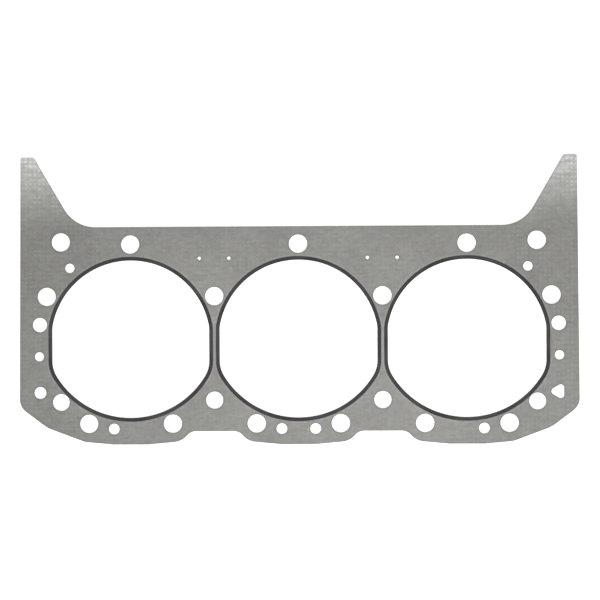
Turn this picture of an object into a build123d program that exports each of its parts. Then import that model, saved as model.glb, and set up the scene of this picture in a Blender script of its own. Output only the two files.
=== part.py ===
"""Cylinder head gasket for one bank of a 90-degree V6 engine.

A steel core plate is sandwiched between two graphite facings, and a folded stainless fire ring
closes the edge of each cylinder opening. The gasket lies flat in the XY plane, block face down:
X runs along the crankshaft, +Y points to the two horns, and the origin is on the centre
cylinder's axis at the face that meets the block. Sizes are in millimetres, angles in degrees.

Only the openings, the bridge between them, lands and margins are sizes of their own. The
cylinder spacing, the holes and the outline are worked out from those, so that every hole keeps
its land to the fire ring when an opening changes.
"""

import os
from math import asin, atan2, cos, degrees, hypot, pi, radians, sin, sqrt

from build123d import *

# One cylinder opening: an upper arc, a larger lower arc, and an upright flat at each side.
opening_radius = 53.1
opening_centre_rise = -0.26
opening_flat_depth = 0.7
opening_low_growth = 5.0
opening_low_lift = 1.12
opening_blend_radius = 20.0

# Layers between two neighbouring openings.
bridge_width = 6.96

# Layers: facing, core, facing.
core_thickness = 0.2
facing_thickness = 0.55

# Fire ring: a strip of sheet folded round the edge of the layers.
ring_sheet = 0.2
ring_flange = 2.4
ring_stands_proud = 0.1
ring_clearance = 0.1

# Outline of the deck, as margins outside the openings.
end_margin = 21.74
top_margin = 22.28
notch_margin = 8.88
notch_corner_radius = 8.0
notch_run = 1.0
low_corner_radius = 10.0
low_corner_rise = 12.33

# The two horns at the ends of the top edge. Their outer edges lean in towards the tips.
horn_height = 46.7
horn_lean = 1.2
horn_tip_width = 10.1
horn_outer_radius = 1.5
horn_inner_radius = 3.0
horn_root_inset = 51.0
horn_root_radius = 24.0

# Head bolts: a land is the width of facing between a fire ring and a hole.
bolt_hole_diameter = 12.2
bolt_boss_radius = 12.2
bolt_land = 1.42
top_bolt_land = 2.14

# Coolant holes round each end cylinder, at an angle above or below the cylinder row.
top_corner_hole_diameter = 12.2
top_corner_hole_angle = 54.7
top_corner_hole_land = 18.56
inner_corner_hole_diameter = 6.3
inner_corner_hole_angle = 50.0
inner_corner_hole_land = 4.17
low_corner_hole_diameter = 11.2
low_corner_hole_angle = 45.7
low_corner_hole_land = 0.5
low_corner_boss_radius = 19.1

# Coolant holes beside the outer flat of each end cylinder.
upper_end_hole_diameter = 9.6
upper_end_hole_rise = 10.12
upper_end_hole_land = 0.98
lower_end_hole_diameter = 6.2
lower_end_hole_drop = 11.04
lower_end_hole_land = 3.13

# Coolant holes in the webs between the cylinders, and steam holes below the openings.
web_hole_diameter = 11.4
web_hole_land = 6.46
steam_hole_diameter = 7.2
steam_hole_land = 2.37
steam_hole_x = 11.22
steam_boss_radius = 10.25

# Pilot holes either side of the inner middle bolts, level with the tops of the openings.
pilot_hole_diameter = 2.4
pilot_hole_offset = 9.85
pilot_hole_rise = 1.16

# Locating holes: a round one at the left end, a three-sided one at the right end.
dowel_hole_diameter = 8.0
dowel_hole_angle = 34.3
dowel_hole_land = 8.7
dowel_slot_inradius = 3.6
dowel_slot_corner_radius = 2.3

# Sizes of an opening that follow from the ones above.
opening_half_width = opening_radius - opening_flat_depth
opening_top = opening_centre_rise + opening_radius
opening_bottom = opening_low_lift - opening_radius
low_radius = opening_radius + opening_low_growth
low_centre_y = opening_bottom + low_radius
bore_pitch = 2 * opening_half_width + bridge_width

# Heights that follow from the layers.
body_thickness = 2 * facing_thickness + core_thickness
ring_height = body_thickness + 2 * ring_stands_proud
core_z = ring_stands_proud + facing_thickness
upper_facing_z = core_z + core_thickness
pressed_depth = ring_sheet - ring_stands_proud


def above_opening(x, land, diameter):
    """Point at x from a cylinder's axis, with its hole a land's width above the ring."""
    reach = opening_radius + ring_flange + land + diameter / 2
    return (x, opening_centre_rise + sqrt(reach**2 - x**2))


def below_opening(x, land, diameter):
    """Point at x from a cylinder's axis, with its hole a land's width below the ring."""
    reach = low_radius + ring_flange + land + diameter / 2
    return (x, low_centre_y - sqrt(reach**2 - x**2))


def above_at_angle(angle, land, diameter):
    """Point outside the upper arc of the right cylinder, at an angle above the row."""
    reach = opening_radius + ring_flange + land + diameter / 2
    return (
        bore_pitch + reach * cos(radians(angle)),
        opening_centre_rise + reach * sin(radians(angle)),
    )


def below_at_angle(angle, land, diameter):
    """Point outside the lower arc of the right cylinder, at an angle below the row."""
    reach = low_radius + ring_flange + land + diameter / 2
    return (
        bore_pitch + reach * cos(radians(angle)),
        low_centre_y - reach * sin(radians(angle)),
    )


def beside_flat(y, land, diameter):
    """Point outside the outer flat of the right cylinder, at height y."""
    return (bore_pitch + opening_half_width + ring_flange + land + diameter / 2, y)


# Places of the holes on the right half of the deck.
top_bolt = above_opening(0, top_bolt_land, bolt_hole_diameter)
middle_bolt = above_opening(bore_pitch / 2, bolt_land, bolt_hole_diameter)
low_bolt = below_opening(bore_pitch / 4, bolt_land, bolt_hole_diameter)
web_hole = below_opening(bore_pitch / 2, web_hole_land, web_hole_diameter)
steam_hole = below_opening(steam_hole_x, steam_hole_land, steam_hole_diameter)
top_corner_hole = above_at_angle(
    top_corner_hole_angle, top_corner_hole_land, top_corner_hole_diameter
)
inner_corner_hole = above_at_angle(
    inner_corner_hole_angle, inner_corner_hole_land, inner_corner_hole_diameter
)
low_corner_hole = below_at_angle(
    low_corner_hole_angle, low_corner_hole_land, low_corner_hole_diameter
)
upper_end_hole = beside_flat(upper_end_hole_rise, upper_end_hole_land, upper_end_hole_diameter)
lower_end_hole = beside_flat(-lower_end_hole_drop, lower_end_hole_land, lower_end_hole_diameter)
dowel_place = below_at_angle(dowel_hole_angle, dowel_hole_land, dowel_hole_diameter)
pilot_y = opening_top + pilot_hole_rise


def belt_face(pegs):
    """Face whose edge runs anticlockwise round the pegs, like a belt.

    A peg is (x, y, radius). The belt passes outside a peg with a positive radius, which makes
    a rounded corner, and inside one with a negative radius, which makes a rounded hollow.
    """
    normals = []
    for (x0, y0, r0), (x1, y1, r1) in zip(pegs, pegs[1:] + pegs[:1]):
        heading = atan2(y1 - y0, x1 - x0)
        normals.append(heading - pi / 2 + asin((r0 - r1) / hypot(x1 - x0, y1 - y0)))

    def on_peg(peg, angle):
        x, y, radius = peg
        return (x + radius * cos(angle), y + radius * sin(angle))

    with BuildLine() as outline:
        for i, peg in enumerate(pegs):
            arrive = normals[i - 1]
            leave = arrive + (normals[i] - arrive + pi) % (2 * pi) - pi
            bend = (arrive + leave) / 2
            ThreePointArc(on_peg(peg, arrive), on_peg(peg, bend), on_peg(peg, leave))
            Line(on_peg(peg, leave), on_peg(pegs[(i + 1) % len(pegs)], leave))
    return make_face(outline.line)


def opening_face(grow):
    """Face of one cylinder opening, with every side moved out by grow."""
    top = opening_radius + grow
    low = low_radius + grow
    blend = opening_blend_radius + grow
    reach = opening_half_width - opening_blend_radius
    high_rise = sqrt((opening_radius - opening_blend_radius) ** 2 - reach**2)
    low_drop = sqrt((low_radius - opening_blend_radius) ** 2 - reach**2)
    high_y = opening_centre_rise + high_rise
    low_y = low_centre_y - low_drop
    high_turn = degrees(atan2(high_rise, reach))
    low_turn = degrees(atan2(low_drop, reach))
    with BuildLine() as outline:
        CenterArc((0, opening_centre_rise), top, high_turn, 180 - 2 * high_turn)
        CenterArc((-reach, high_y), blend, 180 - high_turn, high_turn)
        Line((-reach - blend, high_y), (-reach - blend, low_y))
        CenterArc((-reach, low_y), blend, 180, low_turn)
        CenterArc((0, low_centre_y), low, 180 + low_turn, 180 - 2 * low_turn)
        CenterArc((reach, low_y), blend, -low_turn, low_turn)
        Line((reach + blend, low_y), (reach + blend, high_y))
        CenterArc((reach, high_y), blend, 0, high_turn)
    return make_face(outline.line)


def cylinder_places():
    """Places of the three cylinder axes, left to right."""
    return [Pos(-bore_pitch, 0), Pos(0, 0), Pos(bore_pitch, 0)]


def deck_face():
    """Outer outline of the deck: tabs round the low holes, straight top edge and two horns."""
    half_length = bore_pitch + opening_half_width + end_margin
    top_edge = opening_top + top_margin
    tip_x = half_length - horn_lean
    tip_y = top_edge + horn_height
    low_bolt_x, low_bolt_y = low_bolt
    steam_x, steam_y = steam_hole

    # The hollow of a notch stands off the bolt's boss by a short straight run.
    hollow_y = opening_bottom - notch_margin - notch_corner_radius
    hollow_reach = hypot(bolt_boss_radius + notch_corner_radius, notch_run)
    hollow_x = low_bolt_x + sqrt(hollow_reach**2 - (low_bolt_y - hollow_y) ** 2)

    right_half = [
        (steam_x, steam_y, steam_boss_radius),
        (low_bolt_x, low_bolt_y, bolt_boss_radius),
        (hollow_x, hollow_y, -notch_corner_radius),
        (bore_pitch - hollow_x, hollow_y, -notch_corner_radius),
        (bore_pitch - low_bolt_x, low_bolt_y, bolt_boss_radius),
        (bore_pitch - steam_x, steam_y, steam_boss_radius),
        (bore_pitch + steam_x, steam_y, steam_boss_radius),
        (bore_pitch + low_bolt_x, low_bolt_y, bolt_boss_radius),
        (*low_corner_hole, low_corner_boss_radius),
        (half_length - low_corner_radius, opening_bottom + low_corner_rise, low_corner_radius),
        (tip_x - horn_outer_radius, tip_y - horn_outer_radius, horn_outer_radius),
        (
            tip_x - horn_tip_width + horn_inner_radius,
            tip_y - horn_inner_radius,
            horn_inner_radius,
        ),
        (half_length - horn_root_inset, top_edge + horn_root_radius, -horn_root_radius),
    ]
    left_half = [(-x, y, radius) for x, y, radius in reversed(right_half)]
    return belt_face(right_half + left_half)


def paired_holes(place, diameter):
    """Two round holes, one at each side of the centre line."""
    x, y = place
    return [Pos(-x, y) * Circle(diameter / 2), Pos(x, y) * Circle(diameter / 2)]


def bolt_holes():
    """Head bolt holes: the top row over the cylinders, the others between and beside them."""
    top_y, middle_y, low_y = top_bolt[1], middle_bolt[1], low_bolt[1]
    places = [(bore_pitch, top_y)]
    places += [(bore_pitch * share, middle_y) for share in (1 / 2, 3 / 2)]
    places += [(bore_pitch * share, low_y) for share in (1 / 4, 3 / 4, 5 / 4)]
    holes = [Pos(0, top_y) * Circle(bolt_hole_diameter / 2)]
    for place in places:
        holes += paired_holes(place, bolt_hole_diameter)
    return holes


def passage_holes():
    """Coolant and steam holes."""
    steam_x, steam_y = steam_hole
    holes = []
    holes += paired_holes(top_corner_hole, top_corner_hole_diameter)
    holes += paired_holes(inner_corner_hole, inner_corner_hole_diameter)
    holes += paired_holes(upper_end_hole, upper_end_hole_diameter)
    holes += paired_holes(lower_end_hole, lower_end_hole_diameter)
    holes += paired_holes(low_corner_hole, low_corner_hole_diameter)
    holes += paired_holes(web_hole, web_hole_diameter)
    holes += paired_holes(steam_hole, steam_hole_diameter)
    holes += paired_holes((bore_pitch + steam_x, steam_y), steam_hole_diameter)
    return holes


def locating_holes():
    """Dowel holes at the low ends, and pilot holes beside the inner middle bolts."""
    dowel_x, dowel_y = dowel_place
    corner = 2 * (dowel_slot_inradius - dowel_slot_corner_radius)
    slot_pegs = []
    for turn in (-pi / 3, pi / 3, pi):
        slot_pegs.append((corner * cos(turn), corner * sin(turn), dowel_slot_corner_radius))
    holes = [
        Pos(-dowel_x, dowel_y) * Circle(dowel_hole_diameter / 2),
        Pos(dowel_x, dowel_y) * belt_face(slot_pegs),
    ]
    for side in (-1, 1):
        pilot_x = bore_pitch / 2 + side * pilot_hole_offset
        holes += paired_holes((pilot_x, pilot_y), pilot_hole_diameter)
    return holes


def layer_face():
    """Outline of one layer, with every opening and hole punched through."""
    face = deck_face()
    for place in cylinder_places():
        face -= place * opening_face(ring_sheet + ring_clearance)
    for hole in bolt_holes() + passage_holes() + locating_holes():
        face -= hole
    return face


def facing(face, z, pressed_z):
    """One facing, with a shallow band pressed in where each ring flange bears on it."""
    solid = Pos(0, 0, z) * extrude(face, facing_thickness)
    band = extrude(opening_face(ring_flange + ring_clearance) - opening_face(0), pressed_depth)
    for place in cylinder_places():
        solid -= Pos(0, 0, pressed_z) * place * band
    return solid


def folded_edges(solid):
    """Edges of the inner loop at a ring's top and bottom, where the sheet folds over."""
    flat = solid.faces().sort_by(Axis.Z)
    return flat[0].inner_wires()[0].edges() + flat[-1].inner_wires()[0].edges()


def fire_ring():
    """Sheet folded into a channel that opens outwards, round one cylinder opening.

    The folds are bevelled, outside and inside, so that the sheet keeps its thickness there.
    """
    outer = extrude(opening_face(ring_flange) - opening_face(0), ring_height)
    outer = chamfer(folded_edges(outer), ring_sheet)
    space = opening_face(2 * ring_flange) - opening_face(ring_sheet)
    inside = extrude(space, ring_height - 2 * ring_sheet)
    inside = chamfer(folded_edges(inside), ring_sheet * (sqrt(2) - 1))
    return outer - Pos(0, 0, ring_sheet) * inside


def main():
    os.makedirs("parts", exist_ok=True)
    face = layer_face()
    upper_pressed_z = upper_facing_z + facing_thickness - pressed_depth
    nodes = {
        "steel_core": Pos(0, 0, core_z) * extrude(face, core_thickness),
        "lower_facing": facing(face, ring_stands_proud, ring_stands_proud),
        "upper_facing": facing(face, upper_facing_z, upper_pressed_z),
    }
    ring = fire_ring()
    for side, place in zip(("left", "centre", "right"), cylinder_places()):
        nodes[f"fire_ring_{side}"] = place * ring
    for name, solid in nodes.items():
        export_step(solid, f"parts/{name}.step")
        print(f"{name}: {solid.volume:.1f} mm3")


if __name__ == "__main__":
    main()
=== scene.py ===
# %% [markdown]
# # A cylinder head gasket, dressed and lit
#
# The part comes from CAD: a steel core between two graphite facings, and three folded fire rings.
# The CAD solids are true in size but plain. This file gives each piece the surface it has on the
# real gasket, then lays the gasket on a pale floor under soft light, with a camera above it.
# The frame is the one that the CAD part uses: X along the row of cylinders, Y towards the horns, Z
# up, and the floor at zero. Blender counts in metres. Shapes are worked out in millimetres here,
# and MM turns them into metres when a mesh is made.

# %% Load the part
from math import atan2, cos, hypot, pi, radians, sin, sqrt

import bmesh
import bpy
import numpy as np
from mathutils import Euler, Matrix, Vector
from mathutils.geometry import delaunay_2d_cdt, tessellate_polygon
from mathutils.kdtree import KDTree


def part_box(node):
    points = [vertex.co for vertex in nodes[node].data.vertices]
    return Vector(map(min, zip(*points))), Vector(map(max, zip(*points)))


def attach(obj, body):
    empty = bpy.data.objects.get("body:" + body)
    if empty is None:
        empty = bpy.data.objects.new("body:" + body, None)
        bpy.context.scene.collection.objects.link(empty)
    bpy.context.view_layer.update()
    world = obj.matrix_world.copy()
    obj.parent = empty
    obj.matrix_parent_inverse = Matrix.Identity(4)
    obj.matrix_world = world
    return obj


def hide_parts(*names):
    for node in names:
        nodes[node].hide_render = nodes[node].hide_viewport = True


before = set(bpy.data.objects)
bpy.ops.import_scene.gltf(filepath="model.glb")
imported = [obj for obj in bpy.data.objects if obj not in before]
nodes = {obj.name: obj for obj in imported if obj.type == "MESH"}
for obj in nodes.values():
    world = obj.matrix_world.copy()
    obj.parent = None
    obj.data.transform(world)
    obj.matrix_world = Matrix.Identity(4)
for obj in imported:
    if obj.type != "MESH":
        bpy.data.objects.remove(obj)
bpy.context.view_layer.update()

print("CAD nodes:", ", ".join(sorted(nodes)))

# %% [markdown]
# ## The camera
#
# A gasket is shown lying flat, so the camera hangs over it and looks almost straight down. A lens
# of 85 mm from nearly a metre away keeps the far ends in true proportion. The small leans and the
# small turn are what a camera on a stand has when it isn't perfectly square to the table.

# %% Hang the camera over the gasket
MM = 0.001

LENS_MM = 85
SENSOR_MM = 36
CAMERA_PLACE_MM = (20.593, 29.516, 941.776)
CAMERA_LEAN_DEG = (-0.2146, 1.1828, -0.2754)

camera_data = bpy.data.cameras.new("overhead_camera")
camera_data.lens = LENS_MM
camera_data.sensor_width = SENSOR_MM
camera = bpy.data.objects.new("overhead_camera", camera_data)
camera.location = Vector(CAMERA_PLACE_MM) * MM
camera.rotation_euler = Euler([radians(angle) for angle in CAMERA_LEAN_DEG])
scene = bpy.context.scene
scene.collection.objects.link(camera)
scene.camera = camera
scene.view_settings.view_transform = "Standard"
print("Camera height in mm:", round(camera.location.z / MM, 1))

# %% [markdown]
# ## Node helpers
#
# Every finish here is made of shader nodes. Wiring them by hand in the editor would give the same
# trees, but code can be read, and its numbers have names. A few helpers keep the recipes short: one
# adds a node and fills its sockets, one starts a material and hands over its main shader, and the
# others add the sums, shares and mixes that turn noise into a tone.


# %% Add a node and start a material
def add_node(tree, kind, inputs=None, **settings):
    """Adds a node. A socket given as an input is linked, and any other value is set."""
    made = tree.nodes.new(kind)
    for name, value in settings.items():
        setattr(made, name, value)
    for name, value in (inputs or {}).items():
        if isinstance(value, bpy.types.NodeSocket):
            tree.links.new(value, made.inputs[name])
        else:
            made.inputs[name].default_value = value
    return made


def start_finish(name):
    """A new material, its node tree and its main shader."""
    material = bpy.data.materials.new(name)
    material.use_nodes = True
    tree = material.node_tree
    return material, tree, tree.nodes["Principled BSDF"]


print("Helpers for nodes:", add_node.__name__, "and", start_finish.__name__)

# %% Sums, shares and mixes
NOISE_LOW = 0.3
NOISE_HIGH = 0.7
PLAIN_DETAIL = 2.0
RICH_DETAIL = 3.0


def maths(tree, operation, first, second, third=0.0):
    """Output of a maths node on two or three values or sockets."""
    inputs = {0: first, 1: second, 2: third}
    return add_node(tree, "ShaderNodeMath", inputs, operation=operation).outputs[0]


def share_of(tree, value, low, high):
    """Smooth share, from 0 to 1, of the way that a value has gone from low to high."""
    inputs = {"Value": value, "From Min": low, "From Max": high}
    made = add_node(tree, "ShaderNodeMapRange", inputs, interpolation_type="SMOOTHSTEP")
    return made.outputs[0]


def blend_colours(tree, share, first, second):
    """Output of a mix between two colours or sockets."""
    inputs = {0: share, 6: first, 7: second}
    return add_node(tree, "ShaderNodeMix", inputs, data_type="RGBA").outputs[2]


def noise_of(tree, place, scale, detail):
    """Noise with so many grains a metre, at a place given by a socket."""
    inputs = {"Vector": place, "Scale": scale, "Detail": detail}
    return add_node(tree, "ShaderNodeTexNoise", inputs).outputs["Fac"]


def full_range(tree, noise):
    """The noise spread from 0 to 1, as most of it lies in a narrower range about 0.5."""
    return share_of(tree, noise, NOISE_LOW, NOISE_HIGH)


print("Noise is spread from", (NOISE_LOW, NOISE_HIGH), "to", (0, 1))

# %% [markdown]
# ## The studio
#
# A product table is white all round. Walls and lamps could be built for it, but a bright world does
# the same for less. About half of the light comes from every side, and half from a soft box that
# hangs over the near edge, so the middle is a little brighter than the ends. The world lights the
# gasket at a plain level, and only rays that reach the camera or a mirror see it as pure white. The
# floor glows a little for the same rays, so it looks white and still takes the gasket's shadow.

# %% Light from all round
WHITE = (1, 1, 1, 1)
WORLD_LEVEL = 0.47


def seen_directly(tree):
    """Output that is 1 for a ray to the camera or a mirror, and 0 for a ray that lights things."""
    rays = add_node(tree, "ShaderNodeLightPath").outputs
    mirrored = maths(tree, "MAXIMUM", rays["Is Glossy Ray"], rays["Is Transmission Ray"])
    return maths(tree, "MAXIMUM", rays["Is Camera Ray"], mirrored)


world = bpy.data.worlds.new("white_room")
world.use_nodes = True
room = world.node_tree
background = room.nodes["Background"]
strength = maths(room, "MULTIPLY_ADD", seen_directly(room), 1.0 - WORLD_LEVEL, WORLD_LEVEL)
room.links.new(strength, background.inputs["Strength"])
background.inputs["Color"].default_value = WHITE
scene.world = world
print("World level:", WORLD_LEVEL)

# %% Soft box over the near edge
SOFT_BOX_SIZE = (0.25, 0.18)
SOFT_BOX_PLACE = (0.07, -0.20, 0.48)
SOFT_BOX_WATTS = 1.78

box_data = bpy.data.lights.new("soft_box", "AREA")
box_data.shape = "RECTANGLE"
box_data.size, box_data.size_y = SOFT_BOX_SIZE
box_data.energy = SOFT_BOX_WATTS
soft_box = bpy.data.objects.new("soft_box", box_data)
soft_box.location = SOFT_BOX_PLACE
soft_box.visible_glossy = False
soft_box.rotation_euler = (-soft_box.location).to_track_quat("-Z", "Y").to_euler()
scene.collection.objects.link(soft_box)
print("Soft box power in watts:", SOFT_BOX_WATTS)

# %% Pale floor
FLOOR_HALF = 3.0
FLOOR_DROP = 0.00002
FLOOR_COLOUR = (0.86, 0.86, 0.86, 1)
FLOOR_ROUGHNESS = 0.9
FLOOR_SPECULAR = 0.1
FLOOR_GLOW = 0.6

floor_mesh = bpy.data.meshes.new("floor")
corners = [(-1, -1), (1, -1), (1, 1), (-1, 1)]
corners = [(x * FLOOR_HALF, y * FLOOR_HALF, -FLOOR_DROP) for x, y in corners]
floor_mesh.from_pydata(corners, [], [range(4)])
floor = bpy.data.objects.new("floor", floor_mesh)
scene.collection.objects.link(floor)

floor_paint, tree, shader = start_finish("pale_floor")
shader.inputs["Base Color"].default_value = FLOOR_COLOUR
shader.inputs["Roughness"].default_value = FLOOR_ROUGHNESS
shader.inputs["Specular IOR Level"].default_value = FLOOR_SPECULAR
shader.inputs["Emission Color"].default_value = WHITE
glow = maths(tree, "MULTIPLY", seen_directly(tree), FLOOR_GLOW)
tree.links.new(glow, shader.inputs["Emission Strength"])
floor_mesh.materials.append(floor_paint)
print("Floor side in metres:", 2 * FLOOR_HALF)

# %% [markdown]
# ## Graphite facing
#
# The facing is graphite flake rolled into sheet: neutral grey, soft, with a low metallic sheen. Its
# tone drifts a little over the sheet, and painted shade makes it a touch darker at the ends.
# Flakes, fine grain and rolling ripples break it up. The core below has small tangs in a square
# grid, which print through as soft pale marks and give the sheet a woven look. A painted highlight
# makes the horns paler towards their tips, where the sheet is also smoother and grain, ripples and
# marks show most.
#
# An image of real graphite would be quicker, but it would stretch over the edges and repeat. Noise
# placed by the gasket's own coordinates has neither fault, and its strength can follow the shape.

# %% Tones of the sheet
GRAPHITE_DARK = (0.255, 0.253, 0.238, 1)
GRAPHITE_PALE = (0.293, 0.291, 0.274, 1)
# The pale tone below is a painted highlight that the horn tips are painted towards.
GRAPHITE_TIP_HIGHLIGHT = (0.73, 0.73, 0.71, 1)
GRAPHITE_METALLIC = 0.15
GRAPHITE_SPECULAR = 0.4
DRIFT_SCALE = 16.0
ENDS_FROM = 0.09
ENDS_TO = 0.16
# Over this span of Y the horn tips are painted paler: a painted highlight.
HORN_HIGHLIGHT_FROM = 0.072
HORN_HIGHLIGHT_TO = 0.124
HORN_HIGHLIGHT_POWER = 1.5


def horn_tip_highlight(tree, y):
    """Share of the painted highlight on a horn: nothing at its root, nearly all at its tip."""
    inputs = {"Value": y, "From Min": HORN_HIGHLIGHT_FROM, "From Max": HORN_HIGHLIGHT_TO}
    climbed = add_node(tree, "ShaderNodeMapRange", inputs).outputs[0]
    return maths(tree, "POWER", climbed, HORN_HIGHLIGHT_POWER)


def sheet_colour(tree, place, painted_paler):
    """Colour of the sheet before grain: it drifts, and is painted paler at the horn tips, a painted
    highlight.
    """
    drift = full_range(tree, noise_of(tree, place, DRIFT_SCALE, RICH_DETAIL))
    colour = blend_colours(tree, drift, GRAPHITE_DARK, GRAPHITE_PALE)
    return blend_colours(tree, painted_paler, colour, GRAPHITE_TIP_HIGHLIGHT)


# The horn tips are painted paler over this height: a painted highlight.
print("Horns are rubbed over a height in mm of", round((HORN_HIGHLIGHT_TO - HORN_HIGHLIGHT_FROM) / MM, 1))

# %% Print of the core's tangs
TANG_PITCH = 2.97 * MM
PRINT_HALF_LENGTH = 1.4 * MM
PRINT_HALF_WIDTH = 1.2 * MM
PATCH_SCALE = 130.0
PRINT_STRENGTH = 0.09
PRINT_AT_ENDS = 0.05
PRINT_ON_HORN = 0.25
PRINT_MEAN = 0.3


def tang_marks(tree, x, y):
    """Share of the oval mark round the nearest tang: 1 at its middle and 0 between marks."""
    from_column = maths(tree, "PINGPONG", x, TANG_PITCH / 2)
    from_row = maths(tree, "PINGPONG", y, TANG_PITCH / 2)
    along = maths(tree, "POWER", maths(tree, "DIVIDE", from_column, PRINT_HALF_LENGTH), 2.0)
    across = maths(tree, "POWER", maths(tree, "DIVIDE", from_row, PRINT_HALF_WIDTH), 2.0)
    inside = maths(tree, "SUBTRACT", 1.0, maths(tree, "ADD", along, across))
    return share_of(tree, inside, 0.0, 1.0)


def print_strength(tree, place, ends, painted_paler):
    """How strongly the marks show, which comes and goes in patches."""
    strong = maths(tree, "MULTIPLY_ADD", ends, PRINT_AT_ENDS, PRINT_STRENGTH)
    strong = maths(tree, "MULTIPLY_ADD", painted_paler, PRINT_ON_HORN, strong)
    patches = full_range(tree, noise_of(tree, place, PATCH_SCALE, PLAIN_DETAIL))
    return maths(tree, "MULTIPLY", strong, patches)


print("Tang pitch in mm:", round(TANG_PITCH / MM, 2))

# %% Grain of the sheet
FLAKE_SCALE = 420.0
FLAKE_STRETCH = 1.5
FLAKE_STRENGTH = 0.45
GRAIN_SCALE = 2600.0
GRAIN_STRENGTH = 0.3
GRAIN_ON_HORN = 0.7
RIPPLE_SCALE = 520.0
RIPPLE_STRETCH = 5.0
RIPPLE_STRENGTH = 0.10
RIPPLE_ON_HORN = 0.9
PLAIN_TONE = 0.82
# The sheet is painted darker towards both ends: painted shade.
END_PAINTED_SHADE = 0.06
# Strength of the painted light: lip crests painted paler, a painted highlight, and punched edges
# painted darker, painted shade.
PAINTED_LIGHT_STRENGTH = 0.16


def stretched(tree, place, stretch):
    """The place squeezed along X, so that what is drawn with it comes out longer."""
    inputs = {"Vector": place, "Scale": (1 / stretch, 1.0, 1.0)}
    return add_node(tree, "ShaderNodeMapping", inputs).outputs[0]


def add_grain(tree, tone, grain, painted_paler, plain_strength, horn_strength):
    """The tone with a grain added about its middle, stronger where the horn is rubbed."""
    strong = maths(tree, "MULTIPLY_ADD", painted_paler, horn_strength, plain_strength)
    return maths(tree, "MULTIPLY_ADD", maths(tree, "SUBTRACT", grain, 0.5), strong, tone)


print("Grains a metre, coarse to fine:", FLAKE_SCALE, RIPPLE_SCALE, GRAIN_SCALE)

# %% Graphite finish
GRAPHITE_ROUGHNESS = 0.52
# The sheet is made smoother where the horn tips and lip crests carry a painted highlight.
HIGHLIGHT_SMOOTHING = 0.12
FLAKE_SMOOTHING = 0.08
MARK_RELIEF = 0.6
FLAKE_RELIEF = 0.8
RIPPLE_RELIEF = 0.6
GRAIN_RELIEF = 0.4
GRAPHITE_BUMP = 0.25
GRAPHITE_BUMP_DEPTH = 0.05 * MM


def graphite_finish():
    """Rolled graphite sheet with print-through marks, painted highlights on the lip crests and horn
    tips, and painted shade along the punched edges and towards the ends.
    """
    material, tree, shader = start_finish("graphite_sheet")
    place = add_node(tree, "ShaderNodeTexCoord").outputs["Object"]
    x, y = add_node(tree, "ShaderNodeSeparateXYZ", {0: place}).outputs[:2]
    wear = add_node(tree, "ShaderNodeAttribute", attribute_name="wear").outputs["Fac"]
    flakes = noise_of(tree, stretched(tree, place, FLAKE_STRETCH), FLAKE_SCALE, PLAIN_DETAIL)
    ripple = noise_of(tree, stretched(tree, place, RIPPLE_STRETCH), RIPPLE_SCALE, PLAIN_DETAIL)
    grain = noise_of(tree, place, GRAIN_SCALE, PLAIN_DETAIL)
    marks = tang_marks(tree, x, y)
    # A painted highlight: the share by which the horn tips are painted paler.
    painted_paler = horn_tip_highlight(tree, y)
    ends = share_of(tree, maths(tree, "ABSOLUTE", x, 0.0), ENDS_FROM, ENDS_TO)

    # Painted shade: the tone is lowered towards both ends of the gasket.
    tone = maths(tree, "MULTIPLY_ADD", ends, -END_PAINTED_SHADE, PLAIN_TONE)
    tone = maths(tree, "MULTIPLY_ADD", flakes, FLAKE_STRENGTH, tone)
    tone = add_grain(tree, tone, grain, painted_paler, GRAIN_STRENGTH, GRAIN_ON_HORN)
    tone = add_grain(tree, tone, ripple, painted_paler, RIPPLE_STRENGTH, RIPPLE_ON_HORN)
    printed = print_strength(tree, place, ends, painted_paler)
    marked = maths(tree, "SUBTRACT", marks, PRINT_MEAN)
    tone = maths(tree, "MULTIPLY_ADD", marked, printed, tone)
    # Painted light from the attribute: paler lip crests, a painted highlight, and darker punched
    # edges, painted shade.
    tone = maths(tree, "MULTIPLY_ADD", wear, PAINTED_LIGHT_STRENGTH, tone)
    inputs = {0: sheet_colour(tree, place, painted_paler), "Scale": tone}
    toned = add_node(tree, "ShaderNodeVectorMath", inputs, operation="SCALE")
    tree.links.new(toned.outputs[0], shader.inputs["Base Color"])

    smoothed = maths(tree, "MAXIMUM", painted_paler, wear)
    rough = maths(tree, "MULTIPLY_ADD", smoothed, -HIGHLIGHT_SMOOTHING, GRAPHITE_ROUGHNESS)
    rough = maths(tree, "MULTIPLY_ADD", flakes, -FLAKE_SMOOTHING, rough)
    tree.links.new(rough, shader.inputs["Roughness"])
    shader.inputs["Metallic"].default_value = GRAPHITE_METALLIC
    shader.inputs["Specular IOR Level"].default_value = GRAPHITE_SPECULAR

    height = maths(tree, "MULTIPLY", grain, GRAIN_RELIEF)
    height = maths(tree, "MULTIPLY_ADD", marks, MARK_RELIEF, height)
    height = maths(tree, "MULTIPLY_ADD", flakes, FLAKE_RELIEF, height)
    height = maths(tree, "MULTIPLY_ADD", ripple, RIPPLE_RELIEF, height)
    inputs = {"Strength": GRAPHITE_BUMP, "Distance": GRAPHITE_BUMP_DEPTH, "Height": height}
    bump = add_node(tree, "ShaderNodeBump", inputs)
    tree.links.new(bump.outputs[0], shader.inputs["Normal"])
    return material


graphite = graphite_finish()
print("Graphite finish nodes:", len(graphite.node_tree.nodes))

# %% [markdown]
# ## Steel finishes
#
# The core is tinned sheet steel and shows only as a thin bright line in the cut edges. The fire
# rings are stainless strip that was folded round the openings: satin, with fine drawing lines, and
# painted near-black, a painted dark reflection, as the bare strip is paler. A metal with a
# stretched highlight could stand for them, but at this size fine streaks in tone and gloss show
# them better.
# One recipe serves both steels. Only the tones and the coordinates of the grain differ, and on a
# ring the coordinates follow the strip.

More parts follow.
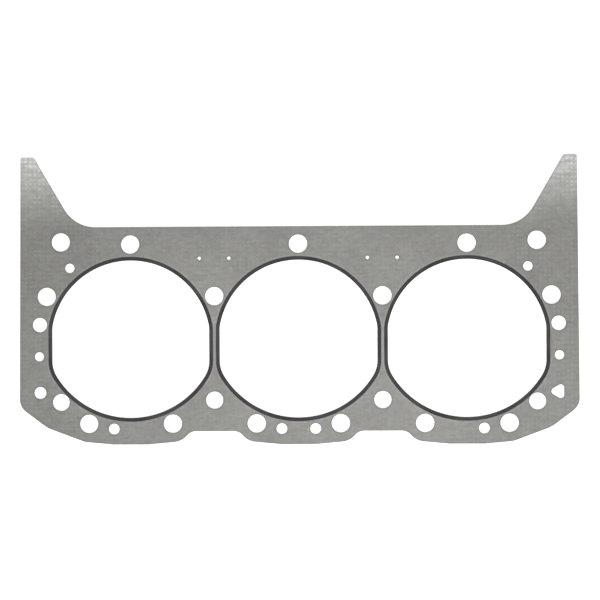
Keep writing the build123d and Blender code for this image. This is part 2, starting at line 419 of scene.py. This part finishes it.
# %% Recipe for sheet steel
STEEL_DRIFT_SCALE = 45.0
STEEL_GRAIN_SCALE = 1500.0
STEEL_GRAIN_SHARE = 0.6
STEEL_METALLIC = 0.8
STEEL_ROUGHNESS_SPREAD = 0.14
STEEL_BUMP = 0.2
STEEL_BUMP_DEPTH = 0.03 * MM


def even_grain(tree):
    """Coordinates of a grain that runs the same in every direction."""
    return add_node(tree, "ShaderNodeTexCoord").outputs["Object"]


def steel_finish(name, dark, pale, roughness, place_of):
    """Sheet steel whose tone and gloss vary with a fine grain, laid out by place_of(tree)."""
    material, tree, shader = start_finish(name)
    drift = noise_of(tree, even_grain(tree), STEEL_DRIFT_SCALE, RICH_DETAIL)
    grain = noise_of(tree, place_of(tree), STEEL_GRAIN_SCALE, RICH_DETAIL)
    mixed = maths(tree, "MULTIPLY", full_range(tree, drift), 1.0 - STEEL_GRAIN_SHARE)
    mixed = maths(tree, "MULTIPLY_ADD", full_range(tree, grain), STEEL_GRAIN_SHARE, mixed)
    tree.links.new(blend_colours(tree, mixed, dark, pale), shader.inputs["Base Color"])
    smoothest = roughness - STEEL_ROUGHNESS_SPREAD / 2
    rough = maths(tree, "MULTIPLY_ADD", grain, STEEL_ROUGHNESS_SPREAD, smoothest)
    tree.links.new(rough, shader.inputs["Roughness"])
    shader.inputs["Metallic"].default_value = STEEL_METALLIC
    inputs = {"Strength": STEEL_BUMP, "Distance": STEEL_BUMP_DEPTH, "Height": grain}
    bump = add_node(tree, "ShaderNodeBump", inputs)
    tree.links.new(bump.outputs[0], shader.inputs["Normal"])
    return material


print("Steel grains a metre:", STEEL_GRAIN_SCALE)

# %% Core steel and ring steel
CORE_DARK = (0.38, 0.38, 0.38, 1)
CORE_PALE = (0.5, 0.5, 0.49, 1)
CORE_ROUGHNESS = 0.35
# The ring tones are painted near-black, a painted dark reflection, as the bare strip is paler.
RING_PAINTED_DARK = (0.028, 0.026, 0.028, 1)
RING_PAINTED_PALE = (0.090, 0.086, 0.090, 1)
RING_ROUGHNESS = 0.38
DRAWN_SCALE = (0.12, 0.12, 5.0)


def drawn_grain(tree):
    """Coordinates of a grain drawn out along the strip: slow along it and quick across it."""
    strip = add_node(tree, "ShaderNodeAttribute", attribute_name="along_strip").outputs["Vector"]
    inputs = {"Vector": strip, "Scale": DRAWN_SCALE}
    return add_node(tree, "ShaderNodeMapping", inputs).outputs[0]


core_steel = steel_finish("core_steel", CORE_DARK, CORE_PALE, CORE_ROUGHNESS, even_grain)
ring_steel_painted_dark = steel_finish("ring_steel_painted_dark", RING_PAINTED_DARK, RING_PAINTED_PALE, RING_ROUGHNESS, drawn_grain)
print("Steel finishes:", core_steel.name, ring_steel_painted_dark.name)

# %% [markdown]
# ## The shape of one opening
#
# The openings aren't round. Each has an upper arc, a larger lower arc and an upright flat at either
# side, all joined by blends. A point's distance outside such a line of tangent arcs is exact and
# easy to work out, and both the fire rings and the pressed band on the facings follow from it. The
# fire ring's box in the CAD model checks the sizes.

# %% Opening outline
OPENING_RADIUS = 53.1
OPENING_RISE = -0.26
FLAT_DEPTH = 0.7
LOW_GROWTH = 5.0
LOW_LIFT = 1.12
BLEND_RADIUS = 20.0
RING_FLANGE = 2.4

HALF_WIDTH = OPENING_RADIUS - FLAT_DEPTH
LOW_RADIUS = OPENING_RADIUS + LOW_GROWTH
LOW_CENTRE_Y = LOW_LIFT - OPENING_RADIUS + LOW_RADIUS
REACH = HALF_WIDTH - BLEND_RADIUS
HIGH_RISE = sqrt((OPENING_RADIUS - BLEND_RADIUS) ** 2 - REACH**2)
LOW_DROP = sqrt((LOW_RADIUS - BLEND_RADIUS) ** 2 - REACH**2)
HIGH_Y = OPENING_RISE + HIGH_RISE
LOW_Y = LOW_CENTRE_Y - LOW_DROP
HIGH_TURN = atan2(HIGH_RISE, REACH)
LOW_TURN = atan2(LOW_DROP, REACH)

ring_low, ring_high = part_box("fire_ring_centre")
ring_width = 2 * (HALF_WIDTH + RING_FLANGE)
print("Ring width in mm: here", ring_width, "and in CAD", round((ring_high.x - ring_low.x) / MM, 3))

# %% Points and outward directions along the opening
PATH_STEP = radians(3)
FEWEST_STEPS = 2
LEVEL_TURN = 0.001


def opening_path():
    """Points of the opening's edge in mm, anticlockwise, each with its outward direction."""
    arcs = [
        (0, OPENING_RISE, OPENING_RADIUS, HIGH_TURN, pi - HIGH_TURN),
        (-REACH, HIGH_Y, BLEND_RADIUS, pi - HIGH_TURN, pi),
        (-REACH, LOW_Y, BLEND_RADIUS, pi, pi + LOW_TURN),
        (0, LOW_CENTRE_Y, LOW_RADIUS, pi + LOW_TURN, 2 * pi - LOW_TURN),
        (REACH, LOW_Y, BLEND_RADIUS, 2 * pi - LOW_TURN, 2 * pi),
        (REACH, HIGH_Y, BLEND_RADIUS, 0, HIGH_TURN),
    ]
    path = []
    for x, y, radius, start, end in arcs:
        count = max(FEWEST_STEPS, round((end - start) / PATH_STEP))
        for i in range(count):
            angle = start + (end - start) * i / count
            outward = Vector((cos(angle), sin(angle)))
            path.append((Vector((x, y)) + outward * radius, outward))
        if abs(sin(end)) < LEVEL_TURN:
            outward = Vector((cos(end), 0))
            path.append((Vector((x + radius * outward.x, y)), outward))
    return path


def outside_opening(x, y):
    """Distance in mm from the edge of an opening centred on zero, positive outside it."""
    x = abs(x)
    if LOW_Y <= y <= HIGH_Y:
        return x - HALF_WIDTH
    if y > HIGH_Y:
        rise, turn, centre, radius = y - HIGH_Y, HIGH_TURN, OPENING_RISE, OPENING_RADIUS
    else:
        rise, turn, centre, radius = LOW_Y - y, LOW_TURN, LOW_CENTRE_Y, LOW_RADIUS
    if x > REACH and atan2(rise, x - REACH) < turn:
        return hypot(x - REACH, rise) - BLEND_RADIUS
    return hypot(x, y - centre) - radius


edge_path = opening_path()
worst = max(abs(outside_opening(point.x, point.y)) for point, outward in edge_path)
print("Points along an opening:", len(edge_path))
print("Their worst distance from its edge in mm:", round(worst, 6))

# %% [markdown]
# ## Fire rings
#
# A fire ring is a strip folded round the edge of the layers, so that hot gas never reaches the
# graphite. In section it is a channel that opens outwards. The section is drawn once, with its
# round folds and its softened free edges, and swept along the opening's edge. A curve with a bevel
# object would do the same, but points placed in code keep the section exactly square to the path.

# %% Section of the folded strip
SHEET = 0.2
RING_HEIGHT = (ring_high.z - ring_low.z) / MM
FOLD_RADIUS = 0.3
FREE_EDGE_RADIUS = 0.06
FOLD_STEPS = 5
FINE_STEPS = 3


def bend(across, height, radius, start_deg, end_deg, steps):
    """Points of a round bend in the section, as (across, height) in mm."""
    turns = [radians(start_deg + (end_deg - start_deg) * i / steps) for i in range(steps + 1)]
    return [(across + radius * cos(turn), height + radius * sin(turn)) for turn in turns]


def ring_section():
    """Outline of the folded strip: over the top, down the fold, out below, and back inside."""
    rim = FREE_EDGE_RADIUS
    inner_fold = FOLD_RADIUS - SHEET
    top, edge = RING_HEIGHT, RING_FLANGE
    outline = bend(edge - rim, top - rim, rim, 0, 90, FINE_STEPS)
    outline += bend(FOLD_RADIUS, top - FOLD_RADIUS, FOLD_RADIUS, 90, 180, FOLD_STEPS)
    outline += bend(FOLD_RADIUS, FOLD_RADIUS, FOLD_RADIUS, 180, 270, FOLD_STEPS)
    outline += bend(edge - rim, rim, rim, 270, 360, FINE_STEPS)
    outline += [(edge, SHEET)]
    outline += bend(FOLD_RADIUS, FOLD_RADIUS, inner_fold, 270, 180, FINE_STEPS)
    outline += bend(FOLD_RADIUS, top - FOLD_RADIUS, inner_fold, 180, 90, FINE_STEPS)
    outline += [(edge, top - SHEET)]
    return outline


section = ring_section()
print("Ring section points:", len(section), "at a height in mm of", round(RING_HEIGHT, 3))

# %% Start a piece
SHARP_ANGLE = radians(40)


def new_piece(name, points, faces, finish):
    """A mesh piece in metres that rides on the part, smooth but for its sharp corners."""
    mesh = bpy.data.meshes.new(name)
    mesh.from_pydata(points, [], faces)
    mesh.validate()
    mesh.shade_smooth()
    mesh.set_sharp_from_angle(angle=SHARP_ANGLE)
    mesh.materials.append(finish)
    piece = bpy.data.objects.new(name, mesh)
    scene.collection.objects.link(piece)
    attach(piece, "root")
    return piece


print("Corners stay sharp over", round(SHARP_ANGLE * 180 / pi), "degrees")

# %% Places along the row of cylinders
SIDES = ("left", "centre", "right")


def cylinder_axis(side):
    """Place along X, in mm, of the axis of a cylinder, from the box of its fire ring."""
    low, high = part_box(f"fire_ring_{side}")
    return (low.x + high.x) / 2 / MM


row = [cylinder_axis(side) for side in SIDES]
print("Cylinder axes in mm:", [round(centre, 3) for centre in row])


# %% Sweep the section round each opening
def swept_ring(name, centre_x):
    """One fire ring round the cylinder at centre_x, in mm."""
    points, along = [], []
    for edge, outward in edge_path:
        for across, height in section:
            spot = edge + outward * across
            points.append(((centre_x + spot.x) * MM, spot.y * MM, height * MM))
            along.append((edge.x * MM, edge.y * MM, across * MM))
    count, around = len(section), len(edge_path)
    faces = []
    for i in range(around):
        for j in range(count):
            here, ahead = i * count, (i + 1) % around * count
            after = (j + 1) % count
            faces.append((here + j, ahead + j, ahead + after, here + after))
    piece = new_piece(name, points, faces, ring_steel_painted_dark)
    drawn = piece.data.attributes.new("along_strip", "FLOAT_VECTOR", "POINT")
    drawn.data.foreach_set("vector", [value for place in along for value in place])
    return piece


for side, centre in zip(SIDES, row):
    ring = swept_ring(f"folded_ring_{side}", centre)
    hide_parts(f"fire_ring_{side}")
    print(ring.name, "faces:", len(ring.data.polygons))

# %% [markdown]
# ## Facings as pressed sheets
#
# A graphite facing takes the print of whatever presses on it. The punch rolls its edges over, the
# ring flange beds into it and squeezes up a low lip outside, and the tangs of the core stand out as
# low dots. All this is a shallow relief over a flat outline with 38 openings. The outline comes
# from the CAD facing. A Delaunay triangulation then joins the outline, the lips and the dots into
# one skin, and each point is given its height. A displaced grid would need ten times the faces and
# would fray at the holes.

# %% Read the outline of a CAD facing
WELD = 0.002 * MM


def rim_loops(node, height):
    """Loops of points in mm round the flat face at a height, with the sheet on their left."""
    mesh = bmesh.new()
    mesh.from_mesh(node.data)
    bmesh.ops.remove_doubles(mesh, verts=mesh.verts, dist=WELD)
    level = [face for face in mesh.faces if all(abs(v.co.z - height) < WELD for v in face.verts)]
    chosen = set(level)
    upward = level[0].normal.z > 0
    follows = {}
    for face in level:
        for corner in face.loops:
            if sum(other in chosen for other in corner.edge.link_faces) == 1:
                ends = (corner.vert, corner.link_loop_next.vert)
                start, end = ends if upward else ends[::-1]
                follows[start] = end
    loops = []
    while follows:
        loop = [next(iter(follows))]
        while follows.get(loop[-1], loop[0]) is not loop[0]:
            loop.append(follows.pop(loop[-1]))
        follows.pop(loop[-1])
        loops.append([v.co.xy / MM for v in loop])
    mesh.free()
    return loops


def extent(loop):
    """Length of a loop along X, in mm."""
    return max(point.x for point in loop) - min(point.x for point in loop)


CORE_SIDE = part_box("upper_facing")[0].z
SHEET_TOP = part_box("upper_facing")[1].z
facing_loops = rim_loops(nodes["upper_facing"], CORE_SIDE)
deck_loop = max(facing_loops, key=extent)
hole_loops = [loop for loop in facing_loops if extent(loop) < OPENING_RADIUS]
print("Loops on the facing:", len(facing_loops), "of which small holes:", len(hole_loops))

# %% [markdown]
# ### Relief of the skin
#
# Heights are counted in mm from the flat of the sheet. The flange bed is as deep as the CAD band.
# The lip and the dots rise by a few hundredths of a millimetre, and the rolled edge drops by less
# than a tenth. That is enough to catch the light, and the flange still stands higher than all of
# them. A bump texture would be cheaper, but it can't round an edge or stand up in a side view.

# %% Heights of the skin
LAYER_EDGE = 0.3
BED_DEPTH = 0.1
BED_EDGE = 2.5
LIP_START = 2.62
LIP_WIDTH = 1.1
LIP_HEIGHT = 0.045
LIP_STEPS = 6
ROLL_STEPS = ((0.0, -0.09), (0.05, -0.03), (0.14, 0.0))
NEARLY = 0.01


def outside_nearest(x, y):
    """Distance in mm outside the nearest opening."""
    return min(outside_opening(x - centre, y) for centre in row)


def skin_height(x, y):
    """Height in mm of the flange bed and the squeezed lip at a point."""
    outside = outside_nearest(x, y)
    if outside <= BED_EDGE + NEARLY:
        return -BED_DEPTH
    share = (outside - LIP_START) / LIP_WIDTH
    if 0 < share < 1:
        return LIP_HEIGHT * sin(pi * share) ** 2
    return 0.0


print("Lip from", LIP_START, "to", LIP_START + LIP_WIDTH, "mm outside an opening")


# %% Loops beside an edge
def step_in(loop, distance):
    """The loop moved into the sheet by a distance, with mitred corners."""
    moved = []
    for i, here in enumerate(loop):
        back = (here - loop[i - 1]).normalized()
        ahead = (loop[(i + 1) % len(loop)] - here).normalized()
        left = Vector((-back.y - ahead.y, back.x + ahead.x)) / (1 + back.dot(ahead))
        moved.append(here + left * distance)
    return moved


def opening_loop(centre, grow):
    """Loop round one opening at a distance outside it, with the sheet on its left."""
    moved = [edge + outward * grow for edge, outward in edge_path]
    return [Vector((centre + point.x, point.y)) for point in reversed(moved)]


shorter = extent(deck_loop) - extent(step_in(deck_loop, 1.0))
print("Stepping the deck in by 1 mm shortens it by", round(shorter, 3), "mm")

# %% [markdown]
# ### Dots of the tangs
#
# A dot stands at each place of the tang grid that lies on the sheet, clear of the edges and of the
# lips. A ray cast to the right of a place crosses an odd number of edges if the place is on the
# sheet, and a search tree of points along the edges tells how near the nearest edge is.

# %% Which places are on the sheet
RAY_BATCH = 2000
NO_RISE = 1e-12


def inside_sheet(places, loops):
    """Whether each place lies on the sheet: an odd number of edges to its right."""
    starts = np.array([point for loop in loops for point in loop])
    ends = np.array([point for loop in loops for point in loop[1:] + loop[:1]])
    rise = ends[:, 1] - starts[:, 1]
    rise[rise == 0] = NO_RISE
    result = []
    for chunk in np.array_split(places, max(1, len(places) // RAY_BATCH)):
        x, y = chunk[:, :1], chunk[:, 1:]
        spans = (starts[:, 1] > y) != (ends[:, 1] > y)
        crossing = starts[:, 0] + (y - starts[:, 1]) / rise * (ends[:, 0] - starts[:, 0])
        result.append((spans & (crossing > x)).sum(axis=1) % 2 == 1)
    return np.concatenate(result)


origin = np.zeros((1, 2))
print("Middle of the deck is on the sheet:", inside_sheet(origin, facing_loops)[0])

# %% How near the nearest edge is
EDGE_POINT_SPACING = 0.5


def edge_tree(loops):
    """Search tree of points along every edge."""
    places = []
    for loop in loops:
        for start, end in zip(loop, loop[1:] + loop[:1]):
            count = max(1, round((end - start).length / EDGE_POINT_SPACING))
            places += [start.lerp(end, i / count) for i in range(count)]
    tree = KDTree(len(places))
    for number, place in enumerate(places):
        tree.insert((place.x, place.y, 0), number)
    tree.balance()
    return tree


def edge_distance(tree, x, y):
    """Distance in mm from a place to the nearest point of a search tree."""
    return tree.find((x, y, 0))[2]


punched_loops = [deck_loop] + hole_loops
punched_tree = edge_tree(punched_loops)
print("Edge to the middle of the deck in mm:", round(edge_distance(punched_tree, 0, 0), 1))

# %% Where the dots stand
DOT_HALF_LENGTH = 0.95 * MM
DOT_HALF_WIDTH = 0.7 * MM
DOT_RINGS = ((0.0, 0.025, 1), (0.5, 0.02, 6), (1.0, 0.0, 8))
DOT_CLEARANCE = 1.4
DOT_TO_LIP = 0.9


def dot_places(loops):
    """Grid places in mm where a tang of the core prints through with room around it."""
    tree = edge_tree(loops)
    pitch = TANG_PITCH / MM
    deck = np.array(deck_loop) / pitch
    low, high = deck.min(axis=0).round().astype(int), deck.max(axis=0).round().astype(int)
    columns, rows = range(low[0], high[0]), range(low[1], high[1])
    grid = [(i * pitch, j * pitch) for i in columns for j in rows]
    places = []
    for (x, y), on_sheet in zip(grid, inside_sheet(np.array(grid), loops)):
        clear = on_sheet and edge_distance(tree, x, y) > DOT_CLEARANCE
        if clear and outside_nearest(x, y) > LIP_START + LIP_WIDTH + DOT_TO_LIP:
            places.append(Vector((x, y)))
    return places


dots = dot_places(punched_loops + [opening_loop(centre, LAYER_EDGE) for centre in row])
print("Dots on a facing:", len(dots))

# %% [markdown]
# ### Plan of the skin
#
# The plan collects points with a height and a painted light, and the edges that the triangulation
# has to keep. The painted light changes the tone of the sheet. It is above 0 on the lip's crest,
# which is painted pale, a painted highlight, 0 on plain sheet, and below 0 on a punched edge, which
# is painted darker, painted shade. A texture painted the same way would do as well, but this way it
# follows the shape by itself.


# %% Start the plan
class Skin:
    """Plan of the skin: points with heights and painted light, and the edges that it must keep."""

    def __init__(self):
        self.points, self.heights, self.wear, self.edges = [], [], [], []

    def add_loop(self, loop, heights, wear=0.0):
        """Adds a closed loop with a height for each point, and returns its point numbers."""
        first = len(self.points)
        numbers = list(range(first, first + len(loop)))
        self.points += loop
        self.heights += heights
        self.wear += [wear] * len(loop)
        self.edges += list(zip(numbers, numbers[1:] + numbers[:1]))
        return numbers

    def add_free(self, point, height, wear=0.0):
        """Adds one free point."""
        self.points.append(point)
        self.heights.append(height)
        self.wear.append(wear)


skin = Skin()
print("Points in the plan:", len(skin.points))

# %% Add the punched edges
# Punched edges and their walls are painted darker, painted shade that fades over the width below.
EDGE_PAINTED_SHADE = -1.0
EDGE_SHADE_WIDTH = 1.5


def add_punched_edge(skin, loop):
    """Adds an edge that the punch rolled over, and returns the point numbers of its rim."""
    rim = None
    for distance, height in ROLL_STEPS:
        stepped = step_in(loop, distance) if distance else loop
        numbers = skin.add_loop(stepped, [height] * len(loop), EDGE_PAINTED_SHADE)
        rim = rim or numbers
    plain = step_in(loop, EDGE_SHADE_WIDTH)
    skin.add_loop(plain, [skin_height(point.x, point.y) for point in plain])
    return rim


rims = [add_punched_edge(skin, loop) for loop in punched_loops]
print("Points with the punched edges:", len(skin.points))

# %% Add the flange beds and their lips
# Lip crests are painted paler: a painted highlight.
LIP_PAINTED_HIGHLIGHT = 1.3
LIP_CLEARANCE = 0.3


def add_flange_bed(skin, centre):
    """Adds the bed of one ring's flange, and returns the point numbers of its inner rim."""
    rim = None
    for grow, height in ((LAYER_EDGE, -BED_DEPTH), (BED_EDGE, -BED_DEPTH), (LIP_START, 0.0)):
        loop = opening_loop(centre, grow)
        numbers = skin.add_loop(loop, [height] * len(loop))
        rim = rim or numbers
    return rim


def add_lip(skin, centre):
    """Adds the lip round one opening, where it is that opening's own and clear of the edges."""
    for step in range(LIP_STEPS + 1):
        for point in opening_loop(centre, LIP_START + LIP_WIDTH * step / LIP_STEPS):
            own = outside_opening(point.x - centre, point.y)
            nearest = outside_nearest(point.x, point.y)
            clear = edge_distance(punched_tree, point.x, point.y) > LIP_CLEARANCE
            if own <= nearest + NEARLY and clear:
                height = skin_height(point.x, point.y)
                skin.add_free(point, height, LIP_PAINTED_HIGHLIGHT * height / LIP_HEIGHT)


for centre in row:
    rims.append(add_flange_bed(skin, centre))
    add_lip(skin, centre)
print("Points with the beds and lips:", len(skin.points), "and rims:", len(rims))


# %% Add the dots
def add_dot(skin, place):
    """Adds the rings of points of one oval dot."""
    for radius, height, count in DOT_RINGS:
        for i in range(count):
            angle = 2 * pi * i / count
            reach = Vector((DOT_HALF_LENGTH * cos(angle), DOT_HALF_WIDTH * sin(angle)))
            skin.add_free(place + reach * radius / MM, height)


for place in dots:
    add_dot(skin, place)
print("Points in the whole plan:", len(skin.points))

# %% [markdown]
# ### From plan to closed sheet
#
# The triangulation covers the whole deck, holes too, so the triangles whose middle isn't on the
# sheet are dropped. Walls then go down from every rim to the side of the core, and a flat face with
# the same openings closes the sheet there. The lower facing is the upper one turned over.

# %% Triangulate the skin and close the sheet
CDT_NEAR = 1e-7


def closed_sheet(skin, rims):
    """Points in metres, faces and painted light of the upper facing, as a closed mesh."""
    found = delaunay_2d_cdt(skin.points, skin.edges, [], 0, CDT_NEAR, True)
    flat, triangles, sources = found[0], found[2], found[3]
    middles = np.array(flat)[np.array(triangles)].mean(axis=1)
    on_sheet = inside_sheet(middles, [[skin.points[i] for i in rim] for rim in rims])
    faces = [tuple(corners) for corners, good in zip(triangles, on_sheet) if good]

    points, wear = [], []
    for spot, source in zip(flat, sources):
        height = skin.heights[source[0]] if source else skin_height(*spot)
        wear.append(skin.wear[source[0]] if source else 0.0)
        points.append((spot.x * MM, spot.y * MM, SHEET_TOP + height * MM))

    number_of = {source: number for number, group in enumerate(sources) for source in group}
    base_loops = []
    for rim in rims:
        tops = [number_of[source] for source in rim]
        bases = list(range(len(points), len(points) + len(tops)))
        points += [(points[top][0], points[top][1], CORE_SIDE) for top in tops]
        wear += [EDGE_PAINTED_SHADE] * len(tops)
        base_loops.append(bases)
        for i in range(len(tops)):
            after = (i + 1) % len(tops)
            faces.append((tops[after], tops[i], bases[i], bases[after]))
    order = [number for bases in base_loops for number in bases]
    outlines = [[Vector((*points[number][:2], 0)) for number in bases] for bases in base_loops]
    for a, b, c in tessellate_polygon(outlines):
        faces.append((order[a], order[b], order[c]))
    return points, faces, wear


sheet_points, sheet_faces, sheet_wear = closed_sheet(skin, rims)
print("Faces of a closed sheet:", len(sheet_faces))

# %% Lay the two facings
LAYERS_MIDDLE = (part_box("steel_core")[0].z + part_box("steel_core")[1].z) / 2


def pressed_facing(name, points):
    """One graphite facing with its relief."""
    piece = new_piece(name, points, sheet_faces, graphite)
    turned = bmesh.new()
    turned.from_mesh(piece.data)
    bmesh.ops.recalc_face_normals(turned, faces=turned.faces)
    turned.to_mesh(piece.data)
    turned.free()
    # The attribute carries the painted highlight and the painted shade into the graphite finish.
    light_attribute = piece.data.attributes.new("wear", "FLOAT", "POINT")
    light_attribute.data.foreach_set("value", sheet_wear)
    return piece


turned_over = [(x, y, LAYERS_MIDDLE * 2 - z) for x, y, z in sheet_points]
upper = pressed_facing("pressed_facing_upper", sheet_points)
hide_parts("upper_facing")
lower = pressed_facing("pressed_facing_lower", turned_over)
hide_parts("lower_facing")
print("Faces on each facing:", len(upper.data.polygons), len(lower.data.polygons))

# %% [markdown]
# ## Steel core
#
# The core shows only as a thin line in every cut edge, between the facings. It could be built again
# like them, but its CAD solid already has the right shape, so it stays and takes the steel finish.

# %% Finish the steel core
core = nodes["steel_core"]
core.data.materials.clear()
core.data.materials.append(core_steel)
print("Core takes", core_steel.name)
